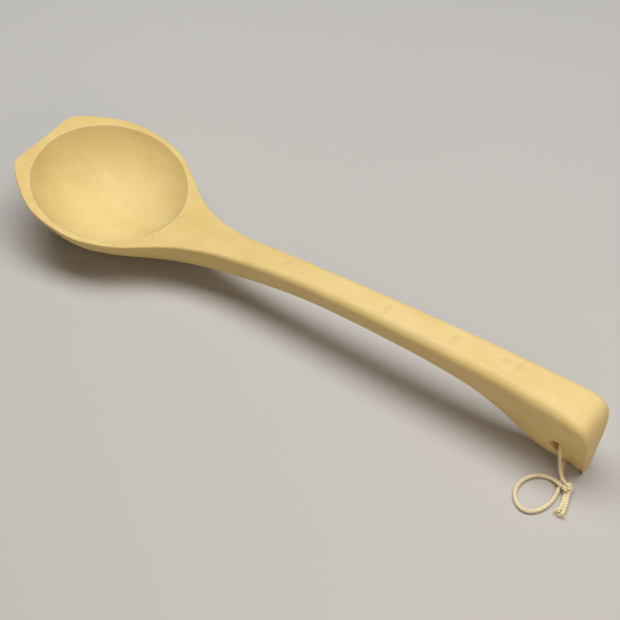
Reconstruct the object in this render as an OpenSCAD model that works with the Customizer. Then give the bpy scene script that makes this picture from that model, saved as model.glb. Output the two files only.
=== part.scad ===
// Carved wooden ladle, one piece of wood, with a cord ring through its end.
// Millimetres, +Z up, bowl at -X, handle end at +X, standing on z = 0.

/* [Bowl] */
// Diameter of the round hollow at its rim
hollow_d = 80; // [72:1:84]
// Depth of the hollow below the rim
hollow_depth = 23; // [18:1:25]
// Wood left under the deepest point of the hollow
floor_t = 7; // [5:0.5:10]
// Flat rim beside the hollow
rim_land = 2.9; // [2:0.1:4]
// Forward rise of the rim in degrees
rim_tilt = 9.3; // [8:0.1:11]
// Length of the straight front edge between the two corners
front_edge = 43; // [36:1:48]
// Distance from the middle of the hollow to the front edge
front_reach = 43.6; // [43.2:0.2:46]

/* [Handle] */
// Distance from the middle of the hollow to the end of the handle
handle_reach = 279.6; // [278:0.2:284]
// Width of the handle at its narrowest
handle_w = 16.4; // [14:0.2:20]
// Height of the handle's top face above the table at its highest
arch_h = 41.4; // [38:0.2:44]
// Height of the handle's underside above the table at its highest
arch_clear = 23.5; // [20:0.5:25]
// Width of the handle across the top of its end
end_w = 25; // [22:0.5:28]
// Width of the narrow foot under the end
foot_w = 7; // [5:0.5:8]

/* [Hanging hole] */
// Diameter of the hole across the end of the handle
hole_d = 6.5; // [5:0.1:8]
// Height of the hole's axis above the table
hole_h = 15.2; // [14:0.2:16]
// Distance from the end of the handle back to the hole's axis
hole_back = 15.4; // [14.6:0.2:16]

/* [Cord] */
// Diameter of the twisted cord
cord_d = 2; // [1.6:0.1:2.2]

/* [Hidden] */

wood = "#e8cb86";
cotton = "#ead9ad";

hollow_r = hollow_d / 2;
bowl_r = hollow_r + rim_land;
rim_h = hollow_depth + floor_t;          // rim height over the middle of the hollow
rim_slope = tan(rim_tilt);
hollow_ball = (hollow_r * hollow_r + hollow_depth * hollow_depth) / (2 * hollow_depth);
body_shift = (front_reach - handle_reach) / 2;   // puts the origin under the middle
end_x = handle_reach;
base_sunk = 0.4;                         // depth taken off to leave a small flat to stand on

// Height of the flat rim at u, measured along the spoon from the hollow's middle
function rim_z(u) = rim_h - u * rim_slope;

// Value at x on a smooth curve through the points p, each [x, value]
function knot_slope(p, i) =
    let (a = max(i - 1, 0), b = min(i + 1, len(p) - 1))
    (p[b][1] - p[a][1]) / (p[b][0] - p[a][0]);
function curve_piece(p, i, x) =
    let (h = p[i + 1][0] - p[i][0], t = min(max((x - p[i][0]) / h, 0), 1),
         m0 = knot_slope(p, i) * h, m1 = knot_slope(p, i + 1) * h)
    p[i][1] * (1 + 2 * t) * (1 - t) * (1 - t) + m0 * t * (1 - t) * (1 - t)
    + p[i + 1][1] * t * t * (3 - 2 * t) - m1 * t * t * (1 - t);
function along(p, x, i = 0) =
    (i >= len(p) - 2 || x <= p[i + 1][0]) ? curve_piece(p, i, x) : along(p, x, i + 1);

// Side view of the top face
top_line = [
    [-front_reach, rim_z(-front_reach)], [-20, rim_z(-20)], [0, rim_z(0)],
    [18, rim_z(18)], [32, rim_z(32)], [46, 25.4], [62, 27.2], [82, 30.3],
    [110, arch_h - 6.6], [145, arch_h - 3.2], [185, arch_h - 1], [215, arch_h - 0.1],
    [235, arch_h], [255, arch_h - 0.4], [265, arch_h - 1], [272, arch_h - 2]
];

// Side view of the underside
bottom_line = [
    [-front_reach, rim_z(-front_reach) - 1.6], [-42, 32], [-40, 27], [-36, 20],
    [-30, 12.6], [-22, 6.2], [-12, 1.5], [0, -base_sunk], [12, 0.5], [22, 2.6], [34, 4.6],
    [48, 6.6], [66, 9.8], [88, 14.5], [110, 19.3], [130, arch_clear - 1.6],
    [155, arch_clear - 0.3], [180, arch_clear], [200, arch_clear - 0.8],
    [218, arch_clear - 3.2], [235, 14.2], [246, 8], [256, 4.1], [264, 2.8],
    [269, 2.3], [273, 0.6]
];

// Half of the width, seen from above
half_width = [
    [-front_reach, front_edge / 2 - 1.2], [-43, front_edge / 2 + 0.7], [-41, 25],
    [-37, 28.8], [-31, 33.2], [-24, 37.9], [-14, bowl_r - 1.1], [0, bowl_r],
    [12, bowl_r - 1.7], [22, 36.5], [31, 30.4], [40, 23.6], [50, 17.4], [60, 13.4],
    [72, 10.4], [86, handle_w / 2 + 0.8], [105, handle_w / 2 + 0.2],
    [130, handle_w / 2], [165, handle_w / 2 + 0.5], [205, handle_w / 2 + 1.4],
    [245, end_w / 2 - 1.6], [265, end_w / 2 - 0.4], [285, end_w / 2 + 0.2]
];

// How far the sides lean in: share of the half width lost from top to bottom
side_lean = [
    [-front_reach, 0], [40, 0], [75, 0.12], [120, 0.18], [200, 0.2],
    [230, 0.3], [250, 0.47], [264, 0.6], [272, 1 - foot_w / end_w]
];
// Shape of the lower corner: 2 is a round hull, higher is a squarer handle
square_corner = 24;                      // at the end, where the sides are almost flat
corner_power = [
    [-front_reach, 2], [30, 2], [60, 2.8], [100, 4], [200, 4.5], [240, 8],
    [272, square_corner]
];
// Flare of the bowl's wall away from the vertical
wall_flare = [[-front_reach, 0.56], [20, 0.56], [60, 0.15], [90, 0], [285, 0]];
// Radius of the upper edges
edge_round = [
    [-front_reach, 0.7], [30, 0.7], [60, 1.5], [100, 3.2], [150, 4.2],
    [200, 4.6], [250, 5], [285, 5]
];

// Each station is one slice: [top x, top z, bottom x, bottom z, half width, lean,
// corner power, flare, edge radius]
function upright(u) = [
    u, along(top_line, u), u, along(bottom_line, u), along(half_width, u),
    along(side_lean, u), along(corner_power, u), along(wall_flare, u),
    along(edge_round, u)
];
// The end is rounded over from the top face: slices fan out round its low corner
fan = [
    // top x back from the end, top z, bottom x back from the end, bottom z, edge radius
    [5.2, arch_h - 3.2, 6, 0.24, 4.4], [2.6, arch_h - 5.2, 4.4, 0.18, 3.7],
    [0.9, arch_h - 8.4, 3.2, 0.12, 2.9], [0.1, arch_h - 13, 2.5, 0.06, 2.2],
    [0.1, arch_h - 19, 2.2, 0, 1.6]
];
lean_last = 1 - foot_w / end_w;
function fanned(k) =
    let (f = fan[k], kept = 1 - lean_last * (1 - f[1] / (arch_h - 2)))
    [end_x - f[0], f[1], end_x - f[2], f[3], end_w / 2 * kept,
     1 - foot_w / end_w / kept, square_corner, 0, f[4]];

stations = concat(
    [for (step = [0, 0.3, 0.8, 1.6, 3]) upright(step - front_reach)],
    [for (u = [-38.5 : 2.2 : 38.5]) upright(u)],
    [for (u = [42 : 4 : 90]) upright(u)],
    [for (u = [98 : 10 : 208]) upright(u)],
    [for (u = [216 : 6 : 270]) upright(u)],
    [for (k = [0 : len(fan) - 1]) fanned(k)]
);

corner_steps = 3;
side_steps = 9;
function slice_side(w, r, h, lean, power, flare) = concat(
    [for (i = [0 : corner_steps]) let (a = 90 * i / corner_steps)
        [w - r * (1 - sin(a)), r * (1 - cos(a))]],
    [for (i = [1 : side_steps - 1])
        let (t = 1 - pow(1 - i / side_steps, 1.8),
             s = sqrt(max(1 - flare * t - (1 - flare) * pow(t, power), 0)))
        [w * (1 - lean * t) * s, r + (h - r) * t]]
);
// One slice as points round the body, from the top face down one side and up the other
function slice(s) =
    let (dx = s[2] - s[0], dz = s[3] - s[1], h = norm([dx, dz]),
         half = slice_side(s[4], min(s[8], 0.45 * h), h, s[5], s[6], s[7]),
         n = len(half))
    concat(
        [for (i = [0 : n - 1]) [s[0] + dx * half[i][1] / h, half[i][0], s[1] + dz * half[i][1] / h]],
        [[s[2], 0, s[3]]],
        [for (i = [n - 1 : -1 : 0]) [s[0] + dx * half[i][1] / h, -half[i][0], s[1] + dz * half[i][1] / h]]
    );

// Skin over a row of closed rings of equal length, with both ends closed
function ring_faces(rows, n) = concat(
    [[for (i = [n - 1 : -1 : 0]) i]],
    [for (r = [0 : rows - 2], i = [0 : n - 1], half = [0, 1])
        let (j = (i + 1) % n, a = r * n, b = (r + 1) * n)
        half == 0 ? [a + i, b + j, b + i] : [a + i, a + j, b + j]],
    [[for (i = [0 : n - 1]) (rows - 1) * n + i]]
);
module skin(rings) {
    points = [for (r = rings, p = r) p];
    polyhedron(points, ring_faces(len(rings), len(rings[0])), convexity = 6);
}

module spoon_body() {
    color(wood) translate([body_shift, 0, 0]) difference() {
        skin([for (s = stations) slice(s)]);
        // round hollow, square to the tilted rim
        translate([0, 0, rim_h]) rotate([0, rim_tilt, 0])
            translate([0, 0, hollow_ball - hollow_depth]) sphere(r = hollow_ball, $fn = 96);
        // small flat under the bowl
        translate([0, 0, -base_sunk]) cube([bowl_r, bowl_r, 2 * base_sunk], center = true);
        // hanging hole
        translate([end_x - hole_back, 0, hole_h]) rotate([90, 0, 0])
            cylinder(d = hole_d, h = 2 * end_w, center = true, $fn = 48);
    }
}

// The cord's own line, as hand-laid points [x, y, z]. It starts in the knot, runs up
// into the hole, comes out on the far side, goes down and under the raised part of the
// end, and lies in a loose loop on the table before it comes back to the knot.
lie = cord_d / 2 + 0.02;                 // height of a cord lying on the table
ring_route = [
    [156.7, -14.9, 3.1], [154.9, -14.1, 3.7], [153.2, -13, 4.9], [151.6, -11.6, 7.1],
    [150.4, -10.4, 9.8], [149.4, -9.5, 12.6], [148.6, -8.3, 14.9], [147.8, -6.4, 16.1],
    [147.3, -3.6, 16], [146.8, 0, 15], [146.4, 3.6, 13.9], [146.4, 6.6, 13.2],
    [146.5, 8.4, 11.4], [146.9, 9.2, 8.6], [147.3, 8.9, 5.4], [147.8, 7.4, 2.7],
    [148.3, 4.8, 1.3], [148.7, 1.8, lie], [149.4, -1.6, lie], [150.3, -4.8, lie],
    [151.6, -8, lie], [153.1, -11.4, lie], [154.3, -14.6, lie], [155.1, -17.8, lie],
    [155.7, -21.8, lie], [155.8, -26, lie], [154.8, -30.4, lie], [152.8, -34.2, lie],
    [149.8, -36.6, lie], [146.2, -36.8, lie], [142.8, -34.8, lie], [140.2, -31.4, lie],
    [139, -27.2, lie], [139.4, -23, lie], [141.2, -19, lie], [144.4, -16, lie],
    [148.2, -14.7, 1.1], [151.4, -15.1, 1.9], [153.8, -16.2, 2.6], [156.1, -16.8, 2.5]
];
tail_routes = [
    [[158.6, -17.4, 1.5], [158.9, -18.4, 1.2], [159.4, -20.2, lie], [160.1, -23.6, lie],
     [160.5, -26.8, lie], [160.4, -29.2, lie]],
    [[159.7, -17, 2.2], [160.4, -18.6, 1.8], [161, -20.6, 1.5], [162, -23.6, 1.2],
     [163, -26.8, lie], [163.3, -29.7, lie]]
];
knot_centre = [158.25, -16.1, 2.45];
knot_turn = -66;                         // the knot's long axis, seen from above
knot_size = [5.8, 5, 4.8];

function unit(v) = v / norm(v);
function heading(p, i) = unit(p[min(i + 1, len(p) - 1)] - p[max(i - 1, 0)]);
function square_to(v, t) = unit(v - (v * t) * t);
tube_sides = 8;
// A tube along the points p, with one ring at each point
function tube_rings(p, r) =
    [for (i = 0, side = square_to([0.3, 0.2, 1], heading(p, 0)); i < len(p);
          i = i + 1, side = i < len(p) ? square_to(side, heading(p, i)) : side)
        let (across = cross(side, heading(p, i)))
        [for (k = [0 : tube_sides - 1]) let (a = 360 * k / tube_sides)
            p[i] + r * (cos(a) * side + sin(a) * across)]];
module tube(p) { skin(tube_rings(p, cord_d / 2)); }

module hanging_cord() { color(cotton) tube(ring_route); }
module cord_tails() { color(cotton) for (route = tail_routes) tube(route); }
knot_rows = 12;
knot_sides = 16;
// Rings round the knot's long axis, x, from one tip to the other
knot_rings = [for (i = [0.4 : knot_rows - 0.4]) let (a = 180 * i / knot_rows)
    [for (k = [0 : knot_sides - 1]) let (b = 360 * k / knot_sides)
        [-cos(a) * knot_size.x, sin(a) * cos(b) * knot_size.y, -sin(a) * sin(b) * knot_size.z] / 2]];
module cord_knot() {
    color(cotton) difference() {
        translate(knot_centre) rotate([0, 0, knot_turn]) skin(knot_rings);
        tube(ring_route);
        for (route = tail_routes) tube(route);
    }
}

spoon_body();
hanging_cord();
cord_knot();
cord_tails();
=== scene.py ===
"""Studio model of a carved limewood ladle with a cotton cord ring, laid out as an add-on."""

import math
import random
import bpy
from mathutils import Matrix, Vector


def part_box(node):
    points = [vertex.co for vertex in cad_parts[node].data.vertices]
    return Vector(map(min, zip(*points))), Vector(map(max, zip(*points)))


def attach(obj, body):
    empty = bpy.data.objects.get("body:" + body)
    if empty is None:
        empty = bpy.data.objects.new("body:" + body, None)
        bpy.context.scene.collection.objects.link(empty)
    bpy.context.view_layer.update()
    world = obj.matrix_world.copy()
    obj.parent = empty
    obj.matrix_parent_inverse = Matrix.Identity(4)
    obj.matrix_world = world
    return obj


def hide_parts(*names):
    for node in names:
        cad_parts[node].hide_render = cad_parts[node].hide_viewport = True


bl_info = {
    "name": "Carved limewood ladle",
    "version": (1, 0, 0),
    "blender": (4, 5, 0),
    "location": "View3D > Sidebar > Ladle",
    "description": "Carves a limewood ladle, ties its cotton cord ring and sets up a plain studio",
    "category": "Add Mesh",
}

from functools import partial

import bpy
import numpy as np
from bpy.props import FloatProperty, FloatVectorProperty, IntProperty, PointerProperty
from mathutils import Quaternion, Vector

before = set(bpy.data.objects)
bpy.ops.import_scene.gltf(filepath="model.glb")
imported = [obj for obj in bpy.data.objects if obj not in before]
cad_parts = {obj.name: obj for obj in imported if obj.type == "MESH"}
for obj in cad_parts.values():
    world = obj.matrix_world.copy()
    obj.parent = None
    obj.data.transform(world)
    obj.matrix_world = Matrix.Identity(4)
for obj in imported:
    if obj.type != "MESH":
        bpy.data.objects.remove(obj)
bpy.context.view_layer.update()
BODY_LOW, BODY_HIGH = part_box("spoon_body")
MM = 0.001


# ---------------- small helpers


def linear(hex_colour):
    """Linear red, green, blue and alpha of an sRGB colour such as '#e8cb86'."""
    parts = [int(hex_colour[i:i + 2], 16) / 255 for i in (1, 3, 5)]
    return (*(c / 12.92 if c <= 0.04045 else ((c + 0.055) / 1.055) ** 2.4 for c in parts), 1)


def deselect_all():
    """Nothing stays selected or in edit mode, so that an operator acts on one piece only."""
    if bpy.context.object and bpy.context.object.mode != "OBJECT":
        bpy.ops.object.mode_set(mode="OBJECT")
    bpy.ops.object.select_all(action="DESELECT")


def take_up(piece):
    """Makes one piece the selected and active one."""
    deselect_all()
    piece.select_set(True)
    bpy.context.view_layer.objects.active = piece


def named(name):
    """Gives the object that an operator has just added its name."""
    piece = bpy.context.object
    piece.name = piece.data.name = name
    return piece


def coordinates(piece):
    """The piece's vertices as rows of x, y, z."""
    flat = np.zeros(len(piece.data.vertices) * 3)
    piece.data.vertices.foreach_get("co", flat)
    return flat.reshape(-1, 3)


def place_points(piece, points):
    """Moves the piece's vertices to the given rows of x, y, z."""
    piece.data.vertices.foreach_set("co", np.asarray(points, float).ravel())
    piece.data.update()


def cut_away(piece, cutter):
    """Takes the cutter's shape out of the piece and puts the cutter away."""
    take_up(piece)
    bpy.ops.object.modifier_add(type="BOOLEAN")
    cut = piece.modifiers[-1]
    cut.operation, cut.solver, cut.object = "DIFFERENCE", "EXACT", cutter
    bpy.ops.object.modifier_apply(modifier=cut.name)
    bpy.data.objects.remove(cutter)


# ---------------- outlines of the wood
# Lengths in millimetres. u runs along the spoon from the middle of the hollow, towards
# the end of the handle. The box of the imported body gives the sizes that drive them.

RIM_LAND = 2.9
HOLLOW_DEPTH = 23.0
FLOOR_T = 7.0
RIM_TILT = math.radians(9.3)
FRONT_REACH = 43.6
FRONT_EDGE = 43.0
HANDLE_W = 16.4
ARCH_CLEAR = 23.5
END_W = 25.0
FOOT_W = 7.0
BASE_SUNK = 0.4
HOLE_D, HOLE_H, HOLE_BACK = 6.5, 15.2, 15.4

ARCH_H = BODY_HIGH.z / MM
BOWL_R = BODY_HIGH.y / MM
HANDLE_REACH = (BODY_HIGH.x - BODY_LOW.x) / MM - FRONT_REACH
U_START = BODY_LOW.x / MM + FRONT_REACH  # the part frame's x at u = 0
HOLE_X = U_START + HANDLE_REACH - HOLE_BACK
HOLLOW_R = BOWL_R - RIM_LAND
RIM_H = HOLLOW_DEPTH + FLOOR_T
HOLLOW_BALL = (HOLLOW_R ** 2 + HOLLOW_DEPTH ** 2) / (2 * HOLLOW_DEPTH)
FRONT_RIM = RIM_H + FRONT_REACH * math.tan(RIM_TILT)


def rim_z(u):
    """Height of the tilted rim's plane."""
    return RIM_H - u * math.tan(RIM_TILT)


TOP_LINE = [
    (-FRONT_REACH, FRONT_RIM), (-20, rim_z(-20)), (0, rim_z(0)), (18, rim_z(18)),
    (32, rim_z(32)), (46, 25.4), (62, 27.2), (82, 30.3), (110, ARCH_H - 6.6),
    (145, ARCH_H - 3.2), (185, ARCH_H - 1), (215, ARCH_H - 0.1), (235, ARCH_H),
    (255, ARCH_H - 0.4), (265, ARCH_H - 1), (272, ARCH_H - 2),
]
BOTTOM_LINE = [
    (-FRONT_REACH, FRONT_RIM - 1.6), (-42, 32), (-40, 27), (-36, 20), (-30, 12.6),
    (-22, 6.2), (-12, 1.5), (0, -BASE_SUNK), (12, 0.5), (22, 2.6), (34, 4.6), (48, 6.6),
    (66, 9.8), (88, 14.5), (110, 19.3), (130, ARCH_CLEAR - 1.6), (155, ARCH_CLEAR - 0.3),
    (180, ARCH_CLEAR), (200, ARCH_CLEAR - 0.8), (218, ARCH_CLEAR - 3.2), (235, 14.2),
    (246, 8), (256, 4.1), (264, 2.8), (269, 2.3), (273, 0.6),
]
HALF_WIDTH = [
    (-FRONT_REACH, FRONT_EDGE / 2 - 1.2), (-43, FRONT_EDGE / 2 + 0.7), (-41, 25),
    (-37, 28.8), (-31, 33.2), (-24, 37.9), (-14, BOWL_R - 1.1), (0, BOWL_R),
    (12, BOWL_R - 1.7), (22, 36.5), (31, 30.4), (40, 23.6), (50, 17.4), (60, 13.4),
    (72, 10.4), (86, HANDLE_W / 2 + 0.8), (105, HANDLE_W / 2 + 0.2),
    (130, HANDLE_W / 2), (165, HANDLE_W / 2 + 0.5), (205, HANDLE_W / 2 + 1.4),
    (245, END_W / 2 - 1.6), (265, END_W / 2 - 0.4), (285, END_W / 2 + 0.2),
]
# Share of the half width that the sides lose from top to bottom
SIDE_LEAN = [
    (-FRONT_REACH, 0), (40, 0), (75, 0.12), (120, 0.18), (200, 0.2), (230, 0.3),
    (250, 0.47), (264, 0.6), (272, 1 - FOOT_W / END_W),
]
# Squareness of the lower corner, from 2, a round hull, upwards
CORNER_POWER = [
    (-FRONT_REACH, 2), (30, 2), (60, 2.8), (100, 4), (200, 4.5), (240, 8), (272, 24),
]
# Flare of the bowl's wall away from the vertical
WALL_FLARE = [(-FRONT_REACH, 0.56), (20, 0.56), (60, 0.15), (90, 0), (285, 0)]
# Radius of the upper edges
EDGE_ROUND = [
    (-FRONT_REACH, 0.7), (30, 0.7), (60, 1.5), (100, 3.2), (150, 4.2), (200, 4.6),
    (250, 5), (285, 5),
]
# The end: slices fan out round its low corner. Each row is the upper point's distance
# back from the end and height, the lower point's distance back and height, and the
# radius of the slice's upper edges.
LAST_UPRIGHT = 270
END_FAN = [
    (9.6, ARCH_H - 1.72, 9.6, 1.87, 5), (5.2, ARCH_H - 3.2, 6, 0.24, 4.4),
    (2.6, ARCH_H - 5.2, 4.4, 0.16, 3.7), (0.9, ARCH_H - 8.4, 3.4, 0.1, 2.9),
    (0.1, ARCH_H - 13, 2.8, 0.05, 2.3), (0.1, ARCH_H - 19, 2.6, 0, 1.9),
    (0.7, 14, 2.5, 0, 1.6), (1.3, 7, 2.4, 0, 1.3), (1.7, 2, 2.3, 0, 1), (1.9, 0.5, 2.2, 0, 1),
]


# Upright slices: run, number and crowding of the first ones, then rows of from, to, spacing
FRONT_RUN, FRONT_SLICES, FRONT_CROWDING = 5.6, 20, 1.6
STATIONS = [(-37.2, 46, 0.9), (46.4, 92, 1.4), (93, 214, 2.4), (215, LAST_UPRIGHT, 1.5)]
FAN_STEPS = 5
TOP_STEPS, CORNER_STEPS, SIDE_STEPS = 10, 7, 26
EDGE_SHARE = 0.45  # most of a slice's depth that its upper edge may take up
SIDE_CROWDING = 1.8  # how the side's points crowd towards the bottom


def between(start, end, slope_start, slope_end, t):
    """Smooth value at share t of the way from one row to the next, with a slope at each."""
    return (start * (1 + 2 * t) * (1 - t) ** 2 + slope_start * t * (1 - t) ** 2
            + end * t * t * (3 - 2 * t) - slope_end * t * t * (1 - t))


def along(points, x):
    """Value at x on a smooth curve through points, each (x, value)."""
    table = np.array(points, float)
    i = int(np.clip(np.searchsorted(table[:, 0], x) - 1, 0, len(table) - 2))
    step = table[i + 1, 0] - table[i, 0]
    t = min(max((x - table[i, 0]) / step, 0), 1)

    def slope(k):
        a, b = max(k - 1, 0), min(k + 1, len(table) - 1)
        return (table[b, 1] - table[a, 1]) / (table[b, 0] - table[a, 0]) * step

    return between(table[i, 1], table[i + 1, 1], slope(i), slope(i + 1), t)


def through(points, steps, unit=1):
    """A smooth line through rows of numbers, with so many steps between two rows."""
    rows = np.array(points, float) * unit
    line = []
    for i in range(len(rows) - 1):
        before, after = rows[max(i - 1, 0)], rows[min(i + 2, len(rows) - 1)]
        slopes = (rows[i + 1] - before) / 2, (after - rows[i]) / 2
        line += [between(rows[i], rows[i + 1], *slopes, t) for t in np.arange(steps) / steps]
    return np.array(line + [rows[-1]])


def upright_slices():
    """Upright slices from the front edge to where the end starts to round over."""
    front = -FRONT_REACH + FRONT_RUN * np.linspace(0, 1, FRONT_SLICES) ** FRONT_CROWDING
    for u in np.concatenate([front, *(np.arange(*station) for station in STATIONS)]):
        yield (u, along(TOP_LINE, u), u, along(BOTTOM_LINE, u), along(HALF_WIDTH, u),
               along(SIDE_LEAN, u), along(CORNER_POWER, u), along(WALL_FLARE, u),
               along(EDGE_ROUND, u))


def end_slices():
    """Slices that fan out round the low corner of the end."""
    lean_last, top_last = SIDE_LEAN[-1][1], TOP_LINE[-1][1]
    for back, top, low_back, low, edge in through(END_FAN, FAN_STEPS):
        kept = 1 - lean_last * (1 - top / top_last)
        yield (HANDLE_REACH - back, top, HANDLE_REACH - low_back, low, END_W / 2 * kept,
               1 - FOOT_W / END_W / kept, CORNER_POWER[-1][1], 0, edge)


def slice_ring(top_u, top_z, low_u, low_z, half, lean, power, flare, edge):
    """Points round one slice: over the top face, down one side and up the other."""
    drop = np.array([low_u - top_u, low_z - top_z])
    depth = float(np.hypot(*drop))
    drop /= depth
    radius = min(edge, EDGE_SHARE * depth)
    turn = np.linspace(0, math.pi / 2, CORNER_STEPS + 1)
    t = 1 - (1 - np.arange(1, SIDE_STEPS) / SIDE_STEPS) ** SIDE_CROWDING
    wall = np.sqrt(np.maximum(1 - flare * t - (1 - flare) * t ** power, 0))
    out = np.concatenate([half - radius * (1 - np.sin(turn)), half * (1 - lean * t) * wall])
    down = np.concatenate([radius * (1 - np.cos(turn)), radius + (depth - radius) * t])
    flat = np.linspace(-1, 1, TOP_STEPS + 1)[1:-1] * (half - radius)
    across = np.concatenate([flat, out, [0], -out[::-1]])
    below = np.concatenate([0 * flat, down, [depth], down[::-1]])
    return np.column_stack([
        top_u + drop[0] * below + U_START, across, top_z + drop[1] * below]) * MM


# ---------------- the cord's route
# Points in millimetres in the part's frame, as laid on the table: from the knot up into the
# hole, out on the far side, under the raised part of the end, round a loose loop and back to
# the knot. The other lengths here are in metres.

CORD_D = 0.002
LIE = 1.02  # height of the middle of a cord that lies on the table, in mm
RING_ROUTE = [
    (156.7, -14.9, 3.1), (154.9, -14.1, 3.7), (153.2, -13, 4.9), (151.6, -11.6, 7.1),
    (150.4, -10.4, 9.8), (149.4, -9.5, 12.6), (148.6, -8.3, 14.9), (147.8, -6.4, 16.1),
    (147.3, -3.6, 16), (146.8, 0, 15), (146.4, 3.6, 13.9), (146.4, 6.6, 13.2), (146.5, 8.4, 11.4),
    (146.9, 9.2, 8.6), (147.3, 8.9, 5.4), (147.8, 7.4, 2.7), (148.3, 4.8, 1.3), (148.7, 1.8, LIE),
    (149.4, -1.6, LIE), (150.3, -4.8, LIE), (151.6, -8, LIE), (153.1, -11.4, LIE),
    (154.3, -14.6, LIE), (155.1, -17.8, LIE), (155.7, -21.8, LIE), (155.8, -26, LIE),
    (154.8, -30.4, LIE), (152.8, -34.2, LIE), (149.8, -36.6, LIE), (146.2, -36.8, LIE),
    (142.8, -34.8, LIE), (140.2, -31.4, LIE), (139, -27.2, LIE), (139.4, -23, LIE),
    (141.2, -19, LIE), (144.4, -16, LIE), (148.2, -14.7, 1.1), (151.4, -15.1, 1.9),
    (153.8, -16.2, 2.6), (156.1, -16.8, 2.5),
]
TAIL_ROUTES = [
    [(158.6, -17.4, 1.5), (158.9, -18.4, 1.2), (159.4, -20.2, LIE), (160.3, -23.6, LIE),
     (160.8, -26.8, LIE), (160.5, -29.2, LIE)],
    [(159.7, -17, 2.2), (160.3, -18.6, 1.8), (160.9, -20.6, 1.6), (161.9, -23.6, 1.4),
     (162.7, -26.8, 1.1), (163.2, -29.7, LIE)],
]
ROUTE_STEPS = 8
RING_SPACING, SHORT_SPACING = 0.0004, 0.0003  # between a line's points

# The knot: points on its line, where it starts, the share of it at each end that is
# tucked in, how far in, and the turns by which its two ends overlap
KNOT_POINTS, KNOT_START, KNOT_TUCK, KNOT_TUCKED_IN, KNOT_OVERLAP = 64, 0.1, 0.12, 0.35, 0.35
KNOT_SWELL, KNOT_LAY = 1.3, 1.5  # the pulled cord there is flatter and its lay longer

# The tails: the length over which a cut end opens out, how far, and each tail's first turn
OPEN_LENGTH, OPEN_OUT = 0.002, 0.35
TAIL_TURNS = (0.2, 0.6)
FRAY_SEED = 11
# A loose fibre: radius at its root and the share of it lost at its tip, where it starts,
# and how it bends and sags
FIBRE_R, FIBRE_TAPER, FIBRE_SIDES, FIBRE_POINTS = 0.00011, 0.6, 5, 6
FIBRE_SET_BACK, FIBRE_SCATTER, FIBRE_SHORTEST = 0.0002, 0.33, 0.35
FIBRE_BEND, FIBRE_BEND_POWER, FIBRE_SAG, FIBRE_GAP = 0.3, 1.7, 0.0003, 0.00002
OFF_TABLE = 1.02  # a strand's middle stays this many radii above the table


# ---------------- tubes and twisted cord


def gone_along(line):
    """Distance gone at each point of a line."""
    steps = np.linalg.norm(np.diff(line, axis=0), axis=1)
    return np.concatenate([[0], np.cumsum(steps)])


def frames_along(line):
    """The way ahead, a side and an up direction at each point of a line, without twist."""
    ahead = np.gradient(line, axis=0)
    ahead /= np.linalg.norm(ahead, axis=1)[:, None]
    no_likely_way = (0.3, 0.2, 1)
    side = np.cross(ahead[0], no_likely_way)
    sides = []
    for direction in ahead:
        side = side - direction * side.dot(direction)
        side /= np.linalg.norm(side)
        sides.append(side)
    sides = np.array(sides)
    return ahead, sides, np.cross(ahead, sides)


def evenly(line, spacing):
    """The same line with its points evenly spaced."""
    gone = gone_along(line)
    wanted = np.linspace(0, gone[-1], max(int(round(gone[-1] / spacing)), 3) + 1)
    return np.column_stack([np.interp(wanted, gone, line[:, k]) for k in range(3)])


class TubeMesh:
    """Gathers closed tubes, each with a map of its turn and its length, into one piece."""

    def __init__(self):
        self.points, self.faces, self.maps = [], [], []

    def add(self, line, radii, sides, axis=None):
        """One tube along the line, with both ends closed. Where it twists round an axis line,
        its map's turn is 0 on the side away from the axis; a tube alone has turn 0 all over."""
        ahead, side, up = frames_along(line)
        if axis is not None:
            side = line - axis
            side -= ahead * np.sum(ahead * side, axis=1)[:, None]
            side /= np.linalg.norm(side, axis=1)[:, None]
            up = np.cross(ahead, side)
        span = 0 if axis is None else 1 / sides
        first, rows = len(self.points), len(line)
        lengths = gone_along(line)
        turn = np.arange(sides) * 2 * math.pi / sides
        for i in range(rows):
            ring = (np.cos(turn)[:, None] * side[i] + np.sin(turn)[:, None] * up[i]) * radii[i]
            self.points.extend((line[i] + ring).tolist())
        for i in range(rows - 1):
            for k in range(sides):
                a, b = first + i * sides, first + (i + 1) * sides
                after = (k + 1) % sides
                self.faces.append((a + k, a + after, b + after, b + k))
                here, there, start, end = k * span, (k + 1) * span, lengths[i], lengths[i + 1]
                self.maps.append([(here, start), (there, start), (there, end), (here, end)])
        for ring, order in ((0, -1), (rows - 1, 1)):
            self.faces.append(tuple(first + ring * sides + k for k in range(sides))[::order])
            self.maps.append([(k * span, lengths[ring]) for k in range(sides)][::order])

    def twist(self, line, diameter, lay, sides):
        """The three strands of a laid cord round its line."""
        lines, strand_r = strand_lines(line, diameter, lay)
        for strand in lines:
            self.add(strand, [strand_r] * len(strand), sides, line)

    def piece(self, name):
        """The gathered tubes as one smooth object at the origin."""
        mesh = bpy.data.meshes.new(name)
        mesh.from_pydata(self.points, [], self.faces)
        turns = mesh.uv_layers.new(name="turn_and_length")
        turns.data.foreach_set("uv", np.array([p for m in self.maps for p in m], float).ravel())
        made = bpy.data.objects.new(name, mesh)
        bpy.context.scene.collection.objects.link(made)
        take_up(made)
        bpy.ops.object.shade_smooth()
        return made


def strand_lines(line, diameter, lay, start_turn=0.0):
    """Lines and radius of the three strands that twist round a cord's own line, all of them
    above the table."""
    strand_r = diameter / 2 / (1 + 2 / math.sqrt(3))
    out = 2 * strand_r / math.sqrt(3)
    _, side, up = frames_along(line)
    lines = []
    for k in range(3):
        turn = (start_turn + gone_along(line) / lay + k / 3) * 2 * math.pi
        strand = line + out * (np.cos(turn)[:, None] * side + np.sin(turn)[:, None] * up)
        strand[:, 2] = np.maximum(strand[:, 2], strand_r * OFF_TABLE)
        lines.append(strand)
    return lines, strand_r


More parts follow.
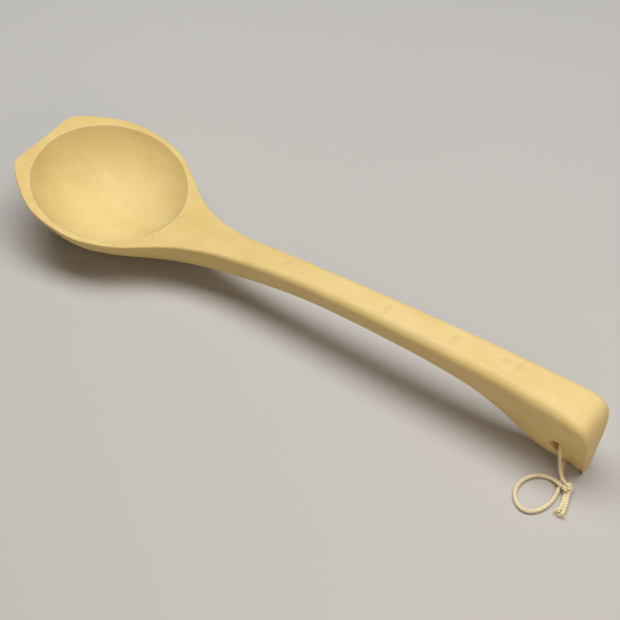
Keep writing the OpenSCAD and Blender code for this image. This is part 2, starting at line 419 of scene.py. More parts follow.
def knot_line(cord):
    """Line of the cord inside the knot: it goes round the two legs and tucks itself in."""
    axis = np.array(cord.knot_axis) / np.linalg.norm(cord.knot_axis)
    side = np.cross(axis, (0, 0, 1))
    side /= np.linalg.norm(side)
    up = np.cross(side, axis)
    t = np.linspace(0, 1, KNOT_POINTS)
    turn = (cord.knot_turns * t + KNOT_START) * 2 * math.pi
    free = np.sin(np.clip(np.minimum(t, 1 - t) / KNOT_TUCK, 0, 1) * math.pi / 2)
    out = cord.knot_radius * (KNOT_TUCKED_IN + (1 - KNOT_TUCKED_IN) * free)
    pull = (t - 0.5) * (cord.knot_turns - KNOT_OVERLAP) * cord.knot_pitch
    return (np.array(cord.knot_centre) + pull[:, None] * axis
            + (out * np.cos(turn))[:, None] * side + (out * np.sin(turn))[:, None] * up)


# ---------------- materials
# Lengths in millimetres, in the part's frame.

GRAIN_STRETCH = 5  # the grain's slow waves are longer along the spoon than across it
LEVEL_BLEND = 40  # length over which the rings stop climbing
RING_UNEVEN, RING_UNEVEN_SIZE = 3, 0.7  # rings moved to and fro, and how often per mm
RING_TONES = [(0, "#ffffff"), (0.35, "#fbfbfb"), (0.82, "#e2e2e2"), (0.92, "#d2d2d2"),
              (1, "#ffffff")]
FIBRE_W, FIBRE_STRETCH = 0.35, 25  # drawn coarser than real fibres, so that they show
FIGURE_W, FIGURE_SQUEEZE = 14, 0.6
BOWL_TINT_FROM, BOWL_TINT_ALL = 60, -150
WALL_SKIN = 0.6  # a point this near to the hollow's ball is on its wall
# Scraper's strokes: width, distance of the point that they fan out from, and stretch
STROKE_W, STROKE_REACH, STROKE_SQUEEZE = 1.1, 75, 0.07
STROKE_MIDDLE = 0.6  # the noise's value at which a stroke doesn't change the wood
PATCH_CORE, PATCH_EDGE = 0.1, 1.1  # shares of a patch's half size
# Middle, half sizes, and darkness, below 0 if paler: five dull patches on top of the spoon,
# and the chip, paler as torn wood is and brightened further as painted light, since its side is in
# shade
PATCHES = [
    ((-8, 1.5, 33), (3, 4, 5), 1), ((50, -0.5, 39), (2.6, 5, 5), 1),
    ((86, 0, 41), (3.4, 5, 5), 1), ((118.5, 1.5, 41), (2.4, 6, 5), 1),
    ((112, 2, 41), (3, 3.5, 5), 1), ((141, -7.4, 15.6), (2.4, 3, 1.2), -2.4),
]
BUMP_DEPTH = 0.05
YARN_ROUND, YARNS = 3, 9  # length in which a yarn goes round its strand, and their number
LINT_SIZE, WORN_SIZE = 0.35, 5  # lint drawn coarser than it is, so that it shows


def add_node(tree, kind, inputs=(), **settings):
    """Adds a shader node with its settings. Each input is given a value, another node's
    output, or another node, whose first output is meant."""
    new = tree.nodes.new("ShaderNode" + kind)
    for name, value in settings.items():
        setattr(new, name, value)
    for key, value in dict(inputs).items():
        if isinstance(value, bpy.types.Node):
            value = value.outputs[0]
        if isinstance(value, bpy.types.NodeSocket):
            tree.links.new(value, new.inputs[key])
        else:
            new.inputs[key].default_value = value
    return new


def new_material(name):
    """An empty node material, and add_node for its tree."""
    material = bpy.data.materials.new(name)
    material.use_nodes = True
    material.node_tree.nodes.clear()
    return material, partial(add_node, material.node_tree)


def set_stops(ramp, stops):
    """Gives a colour ramp its stops, each (place, linear colour)."""
    points = ramp.color_ramp.elements
    while len(points) > 1:
        points.remove(points[-1])
    points[0].position, points[0].color = stops[0][0], (*stops[0][1][:3], 1)
    for place, colour in stops[1:]:
        points.new(place).color = (*colour[:3], 1)


def bare_limewood(look):
    """Limewood, sanded and left bare. Its growth rings are thin and low in contrast, long
    fibres run the length of the handle, and the hollow's round wall cuts the rings into
    nested ovals. Handling has left a few faint dull patches on top of the handle."""
    material, node = new_material("bare_limewood_sanded")
    place = node("TexCoord").outputs["Object"]
    in_mm = node("VectorMath", {0: place, "Scale": 1 / MM}, operation="SCALE")
    wandered = wandering_grain(node, look, in_mm)
    along_spoon = node("SeparateXYZ", {0: wandered})
    ring = growth_rings(node, look, wandered, along_spoon)
    # fibres: hair-fine streaks, one light and one dark in twice their width
    fine = node("Mapping", {"Vector": wandered, "Scale": (1 / FIBRE_STRETCH, 1, 1)})
    fibres = node("TexNoise", {
        "Vector": fine, "Scale": 1 / (2 * FIBRE_W), "Detail": 3, "Roughness": 0.6})
    colour = plain_wood(node, look, wandered, ring, fibres)
    # the bowl's end of the wood is a little deeper in colour than the handle
    to_bowl = node("MapRange", {
        "Value": along_spoon, "From Min": BOWL_TINT_FROM, "From Max": BOWL_TINT_ALL})
    colour = node("Mix", {
        0: to_bowl, 6: colour, 7: (*look.bowl_tint, 1)}, data_type="RGBA",
        blend_type="MULTIPLY").outputs[2]
    colour = scraped_hollow_with_painted_light(node, look, in_mm, colour)
    colour = dull_patches_and_lit_chip(node, look, wandered, colour)

    rough = node("MapRange", {
        "Value": fibres, "To Min": look.wood_roughness - 0.06,
        "To Max": look.wood_roughness + 0.08})
    height = node("Math", {0: ring, 1: -0.3, 2: fibres}, operation="MULTIPLY_ADD")
    bump = node("Bump", {"Strength": 0.35, "Distance": BUMP_DEPTH * MM, "Height": height})
    shader = node("BsdfPrincipled", {
        "Base Color": colour, "Roughness": rough, "Normal": bump, "IOR": 1.5,
        "Specular IOR Level": 0.35})
    node("OutputMaterial", {"Surface": shader})
    return material


def wandering_grain(node, look, in_mm):
    """The place in millimetres, moved to and fro by slow waves, as the grain wanders."""
    slow = node("Mapping", {"Vector": in_mm, "Scale": (1 / GRAIN_STRETCH, 1, 1)})
    noise = node("TexNoise", {"Vector": slow, "Scale": MM / look.wander_size, "Detail": 2})
    both_ways = node("VectorMath", {
        0: noise.outputs["Color"], 1: (0.5, 0.5, 0.5)}, operation="SUBTRACT")
    return node("VectorMath", {
        0: both_ways, 1: (look.wander_depth / MM,) * 3, 2: in_mm}, operation="MULTIPLY_ADD")


def growth_rings(node, look, wandered, along_spoon):
    """Share of a year's ring at each place, round a pith that lies below the spoon. The rings
    climb towards the bowl's front and run level along the handle."""
    out_dir = Vector(look.ring_normal).normalized()
    pith = (Vector(look.ring_point) - out_dir * look.ring_radius) / MM
    from_pith = node("VectorMath", {0: wandered, 1: tuple(pith)}, operation="SUBTRACT")
    outward, sideways = (
        node("VectorMath", {0: from_pith, 1: tuple(way)}, operation="DOT_PRODUCT").outputs["Value"]
        for way in (out_dir, out_dir.cross((1, 0, 0))))
    climb = node("Math", {
        0: along_spoon, 1: look.climb_end / MM, 2: LEVEL_BLEND}, operation="SMOOTH_MIN")
    outward = node("Math", {0: climb, 1: look.ring_climb, 2: outward}, operation="MULTIPLY_ADD")
    across = node("CombineXYZ", {"X": outward, "Y": sideways})
    radius = node("VectorMath", {0: across}, operation="LENGTH").outputs["Value"]
    uneven = node("TexNoise", {
        "W": radius, "Scale": RING_UNEVEN_SIZE, "Detail": 1}, noise_dimensions="1D")
    count = node("Math", {0: radius, 1: MM / look.ring_width}, operation="MULTIPLY")
    count = node("Math", {0: uneven, 1: RING_UNEVEN, 2: count}, operation="MULTIPLY_ADD")
    return node("Math", {0: count}, operation="FRACT")


def plain_wood(node, look, wandered, ring, fibres):
    """Colour of the wood with its soft figure, its rings and its fibres."""
    soft = node("Mapping", {"Vector": wandered, "Scale": (FIGURE_SQUEEZE, 1, 1)})
    figure = node("TexNoise", {
        "Vector": soft, "Scale": 1 / FIGURE_W, "Detail": 3, "Roughness": 0.55})
    tone = node("ValToRGB", {"Fac": figure})
    set_stops(tone, [(0.3, look.wood_dark), (0.5, look.wood), (0.72, look.wood_light)])
    ring_line = node("ValToRGB", {"Fac": ring})
    set_stops(ring_line, [(place, linear(grey)) for place, grey in RING_TONES])
    ringed = node("Mix", {
        0: look.ring_strength, 6: tone, 7: ring_line}, data_type="RGBA",
        blend_type="MULTIPLY").outputs[2]
    streak = node("MapRange", {
        "Value": fibres, "From Min": 0.25, "From Max": 0.75, "To Min": 1 - look.fibre_strength,
        "To Max": 1 + look.fibre_strength / 3})
    return node("VectorMath", {0: ringed, "Scale": streak}, operation="SCALE")


def scraped_hollow_with_painted_light(node, look, in_mm, colour):
    """The hollow's wall is drawn paler and less orange, painted light that cancels the warm light
    bouncing inside the hollow, and is scraped, with fine streaks that fan out across the spoon.
    """
    up = HOLLOW_BALL - HOLLOW_DEPTH
    ball = (U_START + up * math.sin(RIM_TILT), 0, RIM_H + up * math.cos(RIM_TILT))
    off_ball = node("VectorMath", {0: in_mm, 1: ball}, operation="DISTANCE")
    on_wall = node("Math", {
        0: off_ball.outputs["Value"], 1: HOLLOW_BALL, 2: WALL_SKIN}, operation="COMPARE")
    # painted light: the wall is made paler and less orange, to cancel the warm light that bounces
    # inside the hollow
    colour = node("Mix", {
        0: on_wall, 6: colour, 7: (*look.hollow_painted_light, 1)}, data_type="RGBA",
        blend_type="MULTIPLY").outputs[2]
    fan = node("VectorMath", {0: in_mm, 1: (U_START, -STROKE_REACH, 0)}, operation="SUBTRACT")
    fan = node("SeparateXYZ", {0: fan}).outputs
    turn = node("Math", {0: fan[0], 1: fan[1]}, operation="ARCTAN2")
    strokes = node("CombineXYZ", {"X": turn, "Y": fan[1]})
    strokes = node("Mapping", {"Vector": strokes, "Scale": (STROKE_REACH, STROKE_SQUEEZE, 1)})
    strokes = node("TexNoise", {
        "Vector": strokes, "Scale": 1 / STROKE_W, "Detail": 3, "Roughness": 0.6})
    depth = node("Math", {0: on_wall, 1: look.scraper_strength}, operation="MULTIPLY")
    strokes = node("Math", {0: strokes, 1: STROKE_MIDDLE}, operation="SUBTRACT")
    strokes = node("Math", {0: strokes, 1: depth, 2: 1}, operation="MULTIPLY_ADD")
    return node("VectorMath", {0: colour, "Scale": strokes}, operation="SCALE")


def dull_patches_and_lit_chip(node, look, wandered, colour):
    """Soft blots where the wood has been handled, and the chip's paler wood: partly torn wood,
    partly painted light that brightens it against the shade on its side.
    """
    for where, size, darkness in PATCHES:
        away = node("VectorMath", {0: wandered, 1: where}, operation="SUBTRACT")
        away = node("VectorMath", {0: away, 1: tuple(1 / s for s in size)}, operation="MULTIPLY")
        away = node("VectorMath", {0: away}, operation="LENGTH").outputs["Value"]
        # a patch with darkness below 0, the chip, is brightened: partly torn wood, partly painted
        # light against the shade on its side
        dull = node("MapRange", {
            "Value": away, "From Min": PATCH_CORE, "From Max": PATCH_EDGE,
            "To Min": 1 - look.patch_strength * darkness, "To Max": 1},
            interpolation_type="SMOOTHSTEP")
        colour = node("VectorMath", {0: colour, "Scale": dull}, operation="SCALE")
    return colour


def cotton_cord(look):
    """Three-strand cotton cord, carded and laid hard, undyed: matt, with fine fibres that
    twist round each strand and show as faint slanting lines and a soft bloom of light."""
    material, node = new_material("undyed_cotton_laid")
    turns = node("UVMap", uv_map="turn_and_length")
    turn, gone = node("SeparateXYZ", {0: turns}).outputs[:2]
    # the yarns lie side by side at a slant
    rounds = node("Math", {0: gone, 1: 1 / (YARN_ROUND * MM)}, operation="MULTIPLY")
    slant = node("Math", {0: turn, 1: rounds}, operation="SUBTRACT")
    yarn = node("Math", {0: slant, 1: YARNS * 2 * math.pi}, operation="MULTIPLY")
    yarn = node("Math", {0: yarn}, operation="SINE")
    place = node("TexCoord").outputs["Object"]
    lint = node("TexNoise", {"Vector": place, "Scale": 1 / (LINT_SIZE * MM), "Detail": 3})
    patchy = node("TexNoise", {"Vector": place, "Scale": 1 / (WORN_SIZE * MM), "Detail": 2})
    fluff = node("Math", {0: yarn, 1: 0.12, 2: lint}, operation="MULTIPLY_ADD")
    tone = node("ValToRGB", {"Fac": fluff})
    set_stops(tone, [(0.3, look.cotton_dark), (0.62, look.cotton)])
    worn = node("MapRange", {
        "Value": patchy, "From Min": 0.3, "From Max": 0.7, "To Min": 0.93, "To Max": 1.03})
    colour = node("VectorMath", {0: tone, "Scale": worn}, operation="SCALE")
    # painted shade: the grooves between strands are drawn darker, standing in for the shade that
    # falls there; the map's turn is 0 where a strand faces out
    facing = node("Math", {0: turn, 1: 2 * math.pi}, operation="MULTIPLY")
    facing = node("Math", {0: facing}, operation="COSINE")
    groove = node("MapRange", {
        "Value": facing, "From Min": -0.3, "From Max": 0.7, "To Min": look.painted_groove_shade,
        "To Max": 1}, interpolation_type="SMOOTHSTEP")
    colour = node("VectorMath", {0: colour, "Scale": groove}, operation="SCALE")
    bump = node("Bump", {"Strength": 0.6, "Distance": BUMP_DEPTH * MM, "Height": fluff})
    shader = node("BsdfPrincipled", {
        "Base Color": colour, "Roughness": 0.9, "Normal": bump, "IOR": 1.5,
        "Specular IOR Level": 0.2, "Sheen Weight": 0.25, "Sheen Roughness": 0.4})
    node("OutputMaterial", {"Surface": shader})
    return material


def pale_paper(look):
    """A matt paper sheet for the floor, with only a trace of unevenness."""
    material, node = new_material("matt_paper")
    place = node("TexCoord").outputs["Object"]
    cloud = node("TexNoise", {"Vector": place, "Scale": 4, "Detail": 3})
    tone = node("ValToRGB", {"Fac": cloud})
    set_stops(tone, [(0.3, Vector(look.floor) * 0.98), (0.7, look.floor)])
    shader = node("BsdfPrincipled", {
        "Base Color": tone, "Roughness": 0.95, "Specular IOR Level": 0.1})
    node("OutputMaterial", {"Surface": shader})
    return material


def dress(piece, material):
    """Gives the piece its only material."""
    piece.data.materials.clear()
    piece.data.materials.append(material)


# ---------------- what a user may change


def metres(name, about, value, **more):
    """A property in metres."""
    return FloatProperty(name=name, description=about, default=value, unit="LENGTH", **more)


def factor(name, about, value):
    """A property that is a factor."""
    return FloatProperty(name=name, description=about, default=value, subtype="FACTOR")


def watts(name, about, value):
    """A property in watts."""
    return FloatProperty(name=name, description=about, default=value, unit="POWER")


def degrees(name, about, value):
    """A property that is an angle, given in degrees."""
    return FloatProperty(name=name, description=about, default=math.radians(value),
                         subtype="ANGLE")


def tint(name, about, hex_colour):
    """A colour property, given as sRGB hex."""
    return FloatVectorProperty(name=name, description=about, default=linear(hex_colour)[:3],
                               subtype="COLOR")


def vector(name, about, value, subtype="TRANSLATION"):
    """A point in metres, or a direction."""
    return FloatVectorProperty(name=name, description=about, default=value, subtype=subtype)


class LadleSizes(bpy.types.PropertyGroup):
    """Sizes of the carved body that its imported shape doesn't give"""

    lip_round: metres("Lip rounding", "Radius of the hollow's edge", 0.0009)
    hand_waver: metres("Hand waver", "Unevenness of a surface carved by hand", 0.00035)
    waver_size: metres("Waver size", "Width of one low wave of the carved surface", 0.026)
    chip_size: metres("Chip size", "Length of the small chip beside the hanging hole", 0.0028)


class CordSizes(bpy.types.PropertyGroup):
    """Sizes of the cotton cord and its knot"""

    lay: metres("Lay", "Length in which a strand goes once round the cord", 0.0048)
    strand_sides: IntProperty(name="Strand sides", description="Faces round one strand",
                              default=10, min=6, max=16)
    knot_centre: vector("Knot centre", "Middle of the knot", (0.1584, -0.0163, 0.0027))
    knot_axis: vector("Knot axis", "Direction from the legs' side of the knot to the tails",
                      (0.36, -0.92, -0.1), "DIRECTION")
    knot_radius: metres("Knot radius", "From the knot's axis to the middle of the cord round it",
                        0.0013)
    knot_turns: FloatProperty(name="Knot turns", description="Times that the cord goes round",
                              default=2.2)
    knot_pitch: metres("Knot pitch", "Advance of the cord in one turn", 0.0015)
    fray: metres("Fray", "Length of the loose fibres at the ends", 0.0022)
    fibres: IntProperty(name="Fibres", description="Loose fibres at the end of one strand",
                        default=16, min=4, max=40)


class Finishes(bpy.types.PropertyGroup):
    """Colours and patterns of the wood, the cord and the floor"""

    wood: tint("Wood", "Middle colour of the bare wood", "#e9cd8a")
    wood_light: tint("Light wood", "Lightest wood", "#edd291")
    wood_dark: tint("Dark wood", "Darkest wood", "#e4c782")
    bowl_tint: tint("Bowl tint", "Filter over the wood at the bowl", "#faf7e4")
    # painted light: factor that makes the hollow's wall paler and less orange, against the light
    # bouncing inside it
    hollow_painted_light: vector("Hollow tint", "Factor on the wood's colour where it's scraped",
                        (1.02, 1.07, 1.25), "NONE")
    cotton: tint("Cotton", "Colour of the undyed cord", "#fdf1cc")
    cotton_dark: tint("Dark cotton", "Cord between its fibres", "#ecdaa6")
    # painted shade: brightness of the shade painted into the grooves between the cord's strands
    painted_groove_shade: factor("Groove shade", "Brightness between the cord's strands", 0.7)
    floor: tint("Floor", "Colour of the pale floor", "#bfbdb9")
    ring_width: metres("Ring width", "Thickness of one year's wood", 0.0003, precision=5)
    ring_strength: factor("Ring strength", "How far the rings show", 0.22)
    ring_climb: FloatProperty(name="Ring climb", description="Rise of the rings per length "
                              "under the bowl", default=0.129)
    climb_end: metres("Climb end", "Where along the spoon the rings become level", -0.07)
    ring_radius: metres("Ring radius", "From the pith to the ovals in the hollow", 0.09)
    ring_point: vector("Ring point", "Where the ovals lie in the hollow",
                       (-0.1202, -0.0142, 0.0093))
    ring_normal: vector("Ring normal", "Way out from the pith at the ovals", (0, 0.31, 0.95),
                        "DIRECTION")
    wander_size: metres("Wander size", "Width of the grain's waves", 0.03)
    wander_depth: metres("Wander depth", "How far the grain wanders", 0.003)
    fibre_strength: factor("Fibre strength", "How far fibres show", 0.08)
    scraper_strength: factor("Scraper strength", "How far the scraper's marks show in the hollow",
                            0.1)
    patch_strength: factor("Patch strength", "Darkness of the dull patches", 0.1)
    wood_roughness: factor("Wood roughness", "Roughness of sanded wood", 0.55)


class Studio(bpy.types.PropertyGroup):
    """The camera and the lights"""

    aim: vector("Aim", "Point that the camera looks at", (0.0109, -0.0067, 0.02))
    azimuth: degrees("Azimuth", "Turn of the view from straight along Y", 33.8)
    elevation: degrees("Elevation", "Height of the view", 46.36)
    roll: degrees("Roll", "Tilt of the camera about its own line", 1.35)
    distance: metres("Distance", "From the aim to the camera", 0.7668)
    lens: FloatProperty(name="Lens", description="Focal length on a 36 mm frame",
                        default=92.87, unit="CAMERA")
    key_power: watts("Key power", "Power of the high back light", 17)
    fill_power: watts("Fill power", "Power of the light at the end", 0.75)
    key_colour: tint("Key colour", "Colour of the high back light", "#ffffff")
    fill_colour: tint("Fill colour", "Colour of the warm light at the end", "#ffe6cc")
    room_light: FloatProperty(name="Room light", description="Even light from all round",
                              default=0.08)


# ---------------- operators

SENSOR_MM = 36
CAMERA_NEAR, CAMERA_FAR = 0.01, 20
# Place, width and height of the two lights, in metres
KEY_LIGHT = (-0.02, 0.15, 1.15), 1.7, 0.6
FILL_LIGHT = (0.42, -0.32, 0.36), 0.3, 0.3
FLOOR_SIZE, FLOOR_DROP = 6, 0.0002

BALL_SIDES, BALL_RINGS, BALL_TRIM = 160, 96, 4  # the hollow's ball ends 4 mm below the rim
BALL_SHARES = (0.25, 0.5, 0.75, 1)
LIP_SHARES, LIP_END = (0.17, 0.34, 0.5, 0.67, 0.84, 1), math.radians(97)
LIP_ROUNDS = 4  # enough for the lip's place to settle
FLARES = ((0.9, 0.13), (0.9, 12))  # outwards and upwards, past the lip
HOLE_SIDES = 64
CHIP_SIDES, CHIP_RINGS, CHIP_SHAPE, CHIP_TURN = 24, 12, (1, 0.45, 0.42), 0.25
CHIP_BACK, CHIP_Y, CHIP_UP = 0.001, -0.008, 0.0009  # from the hole's edge and middle
CUT_NEAR = 1e-6
WAVER_RISE = 0.008  # height at which the waver is whole
WAVER_HOLE, WAVER_HOLE_START = 0.012, 0.4  # and how it fades near the hole
SMOOTH_UNDER = math.radians(38)


def soft_light(name, placing, aim, power, colour):
    """A lamp at a place, with a width and a height, that points to the aim."""
    place, width, height = placing
    deselect_all()
    bpy.ops.object.light_add(type="AREA", location=place)
    lamp = named(name)
    lamp.data.shape, lamp.data.energy, lamp.data.color = "RECTANGLE", power, colour
    lamp.data.size, lamp.data.size_y = width, height
    lamp.rotation_mode = "QUATERNION"
    lamp.rotation_quaternion = (Vector(aim) - Vector(place)).to_track_quat("-Z", "Y")


class LADLE_OT_set_stage(bpy.types.Operator):
    """Sets the camera, the lights and the pale floor"""

    bl_idname = "ladle.set_stage"
    bl_label = "Set stage"

    def execute(self, context):
        studio, look = context.scene.ladle_studio, context.scene.ladle_finishes
        turn, lift = studio.azimuth, studio.elevation
        back = Vector((math.sin(turn) * math.cos(lift), -math.cos(turn) * math.cos(lift),
                       math.sin(lift)))
        deselect_all()
        bpy.ops.object.camera_add(location=Vector(studio.aim) + back * studio.distance)
        camera = named("studio_camera")
        camera.rotation_mode = "QUATERNION"
        level = (-back).to_track_quat("-Z", "Y")
        camera.rotation_quaternion = Quaternion(back, studio.roll) @ level
        camera.data.sensor_width, camera.data.lens = SENSOR_MM, studio.lens
        camera.data.clip_start, camera.data.clip_end = CAMERA_NEAR, CAMERA_FAR
        context.scene.camera = camera

        soft_light("key_light", KEY_LIGHT, studio.aim, studio.key_power, studio.key_colour)
        soft_light("fill_light", FILL_LIGHT, studio.aim, studio.fill_power, studio.fill_colour)
        world = bpy.data.worlds.new("even_room")
        world.use_nodes = True
        sky = world.node_tree.nodes["Background"]
        sky.inputs["Color"].default_value = (1, 1, 1, 1)
        sky.inputs["Strength"].default_value = studio.room_light
        context.scene.world = world
        context.scene.view_settings.view_transform = "Standard"

        deselect_all()
        bpy.ops.mesh.primitive_plane_add(size=FLOOR_SIZE, location=(0, 0, -FLOOR_DROP))
        floor = named("paper_floor")
        dress(floor, pale_paper(look))
        return {"FINISHED"}


class LADLE_OT_tie_cord(bpy.types.Operator):
    """Lays the cord's ring, ties its knot and frays its two tails"""

    bl_idname = "ladle.tie_cord"
    bl_label = "Tie cord"

    def execute(self, context):
        cord, look = context.scene.ladle_cord, context.scene.ladle_finishes
        cotton = cotton_cord(look)
        ring_line = evenly(through(RING_ROUTE, ROUTE_STEPS, MM), RING_SPACING)
        ring = TubeMesh()
        ring.twist(ring_line, CORD_D, cord.lay, cord.strand_sides)
        ring = ring.piece("cord_ring")

        knot = TubeMesh()
        knot.twist(evenly(knot_line(cord), SHORT_SPACING), CORD_D * KNOT_SWELL,
                   cord.lay * KNOT_LAY, cord.strand_sides)
        knot = knot.piece("overhand_knot")

        tails = self.fray_tails(cord)
        for piece in (ring, knot, tails):
            dress(piece, cotton)
            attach(piece, "root")
        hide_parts("hanging_cord")
        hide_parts("cord_knot")
        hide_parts("cord_tails")
        return {"FINISHED"}

    def fray_tails(self, cord):
        """Two short ends whose strands come apart into loose fibres."""
        chance = random.Random(FRAY_SEED)
        tails = TubeMesh()
        for route, start_turn in zip(TAIL_ROUTES, TAIL_TURNS):
            line = evenly(through(route, ROUTE_STEPS, MM), SHORT_SPACING)
            lines, strand_r = strand_lines(line, CORD_D, cord.lay, start_turn)
            to_end = np.linspace(1, 0, len(line)) * len(line) * SHORT_SPACING
            open_out = 1 + OPEN_OUT * np.clip(1 - to_end / OPEN_LENGTH, 0, 1)[:, None]
            for strand in lines:
                strand = line + (strand - line) * open_out
                strand[:, 2] = np.maximum(strand[:, 2], strand_r * OFF_TABLE)
                tails.add(strand, [strand_r] * len(strand), cord.strand_sides, line)
                ahead = strand[-1] - strand[-4]
                ahead /= np.linalg.norm(ahead)
                for _ in range(cord.fibres):
                    self.add_fibre(tails, cord, chance, strand[-1], ahead, strand_r)
        return tails.piece("frayed_tails")

    def add_fibre(self, tails, cord, chance, root, ahead, strand_r):
        """One loose fibre that bends away from the strand's cut end."""
        spread = np.array([chance.gauss(0, 1) for _ in range(3)])
        spread -= ahead * spread.dot(ahead)
        start = root - ahead * FIBRE_SET_BACK + spread * strand_r * FIBRE_SCATTER
        reach = cord.fray * chance.uniform(FIBRE_SHORTEST, 1)
        t = np.linspace(0, 1, FIBRE_POINTS)
        line = (start + np.outer(t, ahead) * reach
                + np.outer(t ** FIBRE_BEND_POWER, spread) * reach * FIBRE_BEND)
        radii = FIBRE_R * (1 - FIBRE_TAPER * t)
        line[:, 2] = np.maximum(line[:, 2] - t ** 2 * FIBRE_SAG, radii + FIBRE_GAP)
        tails.add(line, radii, FIBRE_SIDES)


class LADLE_OT_carve_body(bpy.types.Operator):
    """Carves the ladle from one blank: outline, hollow, hanging hole and foot"""

    bl_idname = "ladle.carve_body"
    bl_label = "Carve body"

    def execute(self, context):
        sizes, look = context.scene.ladle_sizes, context.scene.ladle_finishes
        body = self.shape_blank()
        cut_away(body, self.hollow_cutter(sizes))
        cut_away(body, self.hole_cutter())
        cut_away(body, self.chip_cutter(sizes))
        self.waver(body, sizes)
        self.level_base(body)
        take_up(body)
        bpy.ops.object.shade_smooth_by_angle(angle=SMOOTH_UNDER)
        dress(body, bare_limewood(look))
        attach(body, "root")
        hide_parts("spoon_body")
        return {"FINISHED"}

    def shape_blank(self):
        """A sheet of faces wrapped round the slices, joined along its seam and closed."""
        rings = [slice_ring(*s) for s in [*upright_slices(), *end_slices()]]
        rows, around = len(rings), len(rings[0])
        deselect_all()
        bpy.ops.mesh.primitive_grid_add(x_subdivisions=around, y_subdivisions=rows - 1,
                                        location=(0, 0, 0))
        body = named("ladle_body")
        place_points(body, [p for ring in rings for p in [*ring, ring[0]]])
        bpy.ops.object.mode_set(mode="EDIT")
        bpy.ops.mesh.select_all(action="SELECT")
        bpy.ops.mesh.remove_doubles(threshold=CUT_NEAR)
        bpy.ops.mesh.select_all(action="SELECT")
        bpy.ops.mesh.fill_holes(sides=0)
        bpy.ops.mesh.select_all(action="SELECT")
        bpy.ops.mesh.normals_make_consistent(inside=False)
        bpy.ops.object.mode_set(mode="OBJECT")
        return body

    def hollow_cutter(self, sizes):
        """A ball cut off below the rim, whose lip flares over the hollow's rounded edge."""
        deselect_all()
        bpy.ops.mesh.primitive_uv_sphere_add(
            segments=BALL_SIDES, ring_count=BALL_RINGS, radius=HOLLOW_BALL * MM,
            location=(0, 0, (HOLLOW_BALL - HOLLOW_DEPTH) * MM))
        cutter = named("hollow_cutter")
        bpy.ops.object.transform_apply(location=True, rotation=True, scale=True)
        bpy.ops.object.mode_set(mode="EDIT")
        bpy.ops.mesh.select_all(action="SELECT")
        bpy.ops.mesh.bisect(plane_co=(0, 0, -BALL_TRIM * MM), plane_no=(0, 0, 1),
                            clear_outer=True)
        # after the cut only the new edge is selected: it's drawn up one ring at a time
        for step in self.lip_steps(sizes):
            bpy.ops.mesh.extrude_region_move()
            bpy.ops.object.mode_set(mode="OBJECT")
            for vertex in cutter.data.vertices:
                if vertex.select:
                    turn = math.atan2(vertex.co.y, vertex.co.x)
                    radius, height = step(turn)
                    vertex.co = (radius * math.cos(turn), radius * math.sin(turn), height)
            bpy.ops.object.mode_set(mode="EDIT")
        bpy.ops.mesh.edge_face_add()
        bpy.ops.mesh.select_all(action="SELECT")
        bpy.ops.mesh.normals_make_consistent(inside=False)
        bpy.ops.object.mode_set(mode="OBJECT")
        cutter.rotation_euler = (0, RIM_TILT, 0)
        cutter.location = (U_START * MM, 0, RIM_H * MM)
        bpy.ops.object.transform_apply(location=True, rotation=True, scale=True)
        return cutter

    def lip_steps(self, sizes):
        """Rings of the cutter's lip. Each step gives a radius and a height at a turn."""
        soft = sizes.lip_round / MM
        centre_z = HOLLOW_BALL - HOLLOW_DEPTH

        def wood_top(radius, turn):
            """Height of the wood above the rim's plane, along the plane's own upright."""
            u = radius * math.cos(turn) * math.cos(RIM_TILT)
            return max(along(TOP_LINE, u) - rim_z(u), 0) * math.cos(RIM_TILT)

        def lip_centre(turn):
            """Middle of the rounding, as far from the ball as from the wood's top face."""
            level = 0.0
            for _ in range(LIP_ROUNDS):
                reach = math.sqrt((HOLLOW_BALL + soft) ** 2 - (centre_z + soft - level) ** 2)
                level = wood_top(reach, turn)
            return reach, level - soft

        def on_ball(part):
            def ring(turn):
                reach, z = lip_centre(turn)
                end = math.asin((centre_z - z) / (HOLLOW_BALL + soft))
                start = math.asin((centre_z + BALL_TRIM) / HOLLOW_BALL)
                tilt = start + (end - start) * part
                return (HOLLOW_BALL * math.cos(tilt) * MM,
                        (centre_z - HOLLOW_BALL * math.sin(tilt)) * MM)
            return ring

        def on_lip(part):
            def ring(turn):
                reach, z = lip_centre(turn)
                start = math.pi - math.asin((centre_z - z) / (HOLLOW_BALL + soft))
                tilt = start + (LIP_END - start) * part
                return ((reach + soft * math.cos(tilt)) * MM, (z + soft * math.sin(tilt)) * MM)
            return ring

        def flare(out, up):
            def ring(turn):
                reach, z = lip_centre(turn)
                return (reach + out) * MM, (z + soft + up) * MM
            return ring

        return [*map(on_ball, BALL_SHARES), *map(on_lip, LIP_SHARES),
                *(flare(out, up) for out, up in FLARES)]

    def hole_cutter(self):
        """A drill across the end of the handle."""
        deselect_all()
        bpy.ops.mesh.primitive_cylinder_add(
            vertices=HOLE_SIDES, radius=HOLE_D / 2 * MM, depth=2 * END_W * MM,
            location=(HOLE_X * MM, 0, HOLE_H * MM), rotation=(math.pi / 2, 0, 0))
        return named("hole_cutter")

    def chip_cutter(self, sizes):
        """A small lens that takes a chip out of the hole's near edge."""
        deselect_all()
        bpy.ops.mesh.primitive_uv_sphere_add(
            segments=CHIP_SIDES, ring_count=CHIP_RINGS, radius=sizes.chip_size,
            location=((HOLE_X - HOLE_D / 2) * MM - CHIP_BACK, CHIP_Y, HOLE_H * MM + CHIP_UP))
        cutter = named("chip_cutter")
        cutter.scale = CHIP_SHAPE
        cutter.rotation_euler = (0, CHIP_TURN, 0)
        bpy.ops.object.transform_apply(location=True, rotation=True, scale=True)
        return cutter

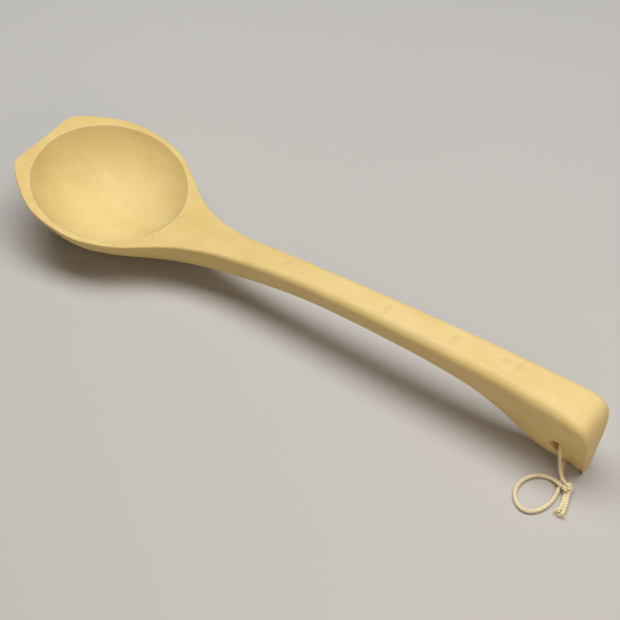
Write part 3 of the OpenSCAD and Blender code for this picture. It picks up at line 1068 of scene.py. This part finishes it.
    def level_base(self, body):
        """Planes off what reaches below the table, and closes the cut with a flat."""
        take_up(body)
        bpy.ops.object.mode_set(mode="EDIT")
        bpy.ops.mesh.select_all(action="SELECT")
        bpy.ops.mesh.bisect(plane_co=(0, 0, 0), plane_no=(0, 0, -1), threshold=CUT_NEAR,
                            clear_outer=True, use_fill=True)
        bpy.ops.object.mode_set(mode="OBJECT")

    def waver(self, body, sizes):
        """The slight unevenness of a surface made by hand, none of it near the table or
        the hole."""
        points = coordinates(body)
        from_hole = np.linalg.norm(points[:, [0, 2]] - np.array([HOLE_X, HOLE_H]) * MM, axis=1)
        free = (np.clip(points[:, 2] / WAVER_RISE, 0, 1)
                * np.clip(from_hole / WAVER_HOLE - WAVER_HOLE_START, 0, 1))
        group = body.vertex_groups.new(name="free_to_waver")
        for index, share in enumerate(free):
            group.add([index], float(share), "REPLACE")
        clouds = bpy.data.textures.new("hand_waver", "CLOUDS")
        clouds.noise_scale, clouds.noise_depth = sizes.waver_size, 1
        take_up(body)
        bpy.ops.object.modifier_add(type="DISPLACE")
        push = body.modifiers[-1]
        push.texture, push.texture_coords = clouds, "OBJECT"
        push.vertex_group, push.strength, push.mid_level = group.name, sizes.hand_waver, 0.5
        bpy.ops.object.modifier_apply(modifier=push.name)
        body.vertex_groups.clear()


class LADLE_PT_panel(bpy.types.Panel):
    """Lists the ladle's pieces and the stage"""

    bl_label = "Carved ladle"
    bl_idname = "LADLE_PT_panel"
    bl_space_type = "VIEW_3D"
    bl_region_type = "UI"
    bl_category = "Ladle"

    def draw(self, context):
        for operator in (LADLE_OT_set_stage, LADLE_OT_tie_cord, LADLE_OT_carve_body):
            self.layout.operator(operator.bl_idname)
        self.layout.prop(context.scene.ladle_sizes, "lip_round")
        self.layout.prop(context.scene.ladle_cord, "lay")
        self.layout.prop(context.scene.ladle_finishes, "wood")


CLASSES = (LadleSizes, CordSizes, Finishes, Studio, LADLE_OT_set_stage, LADLE_OT_tie_cord,
           LADLE_OT_carve_body, LADLE_PT_panel)
GROUPS = {"ladle_sizes": LadleSizes, "ladle_cord": CordSizes, "ladle_finishes": Finishes,
          "ladle_studio": Studio}


def register():
    for one in CLASSES:
        bpy.utils.register_class(one)
    for name, group in GROUPS.items():
        setattr(bpy.types.Scene, name, PointerProperty(type=group))


def unregister():
    for name in GROUPS:
        delattr(bpy.types.Scene, name)
    for one in reversed(CLASSES):
        bpy.utils.unregister_class(one)


def main():
    """Makes the whole scene in order."""
    register()
    bpy.ops.ladle.set_stage()
    bpy.ops.ladle.tie_cord()
    bpy.ops.ladle.carve_body()


if __name__ == "__main__":
    main()
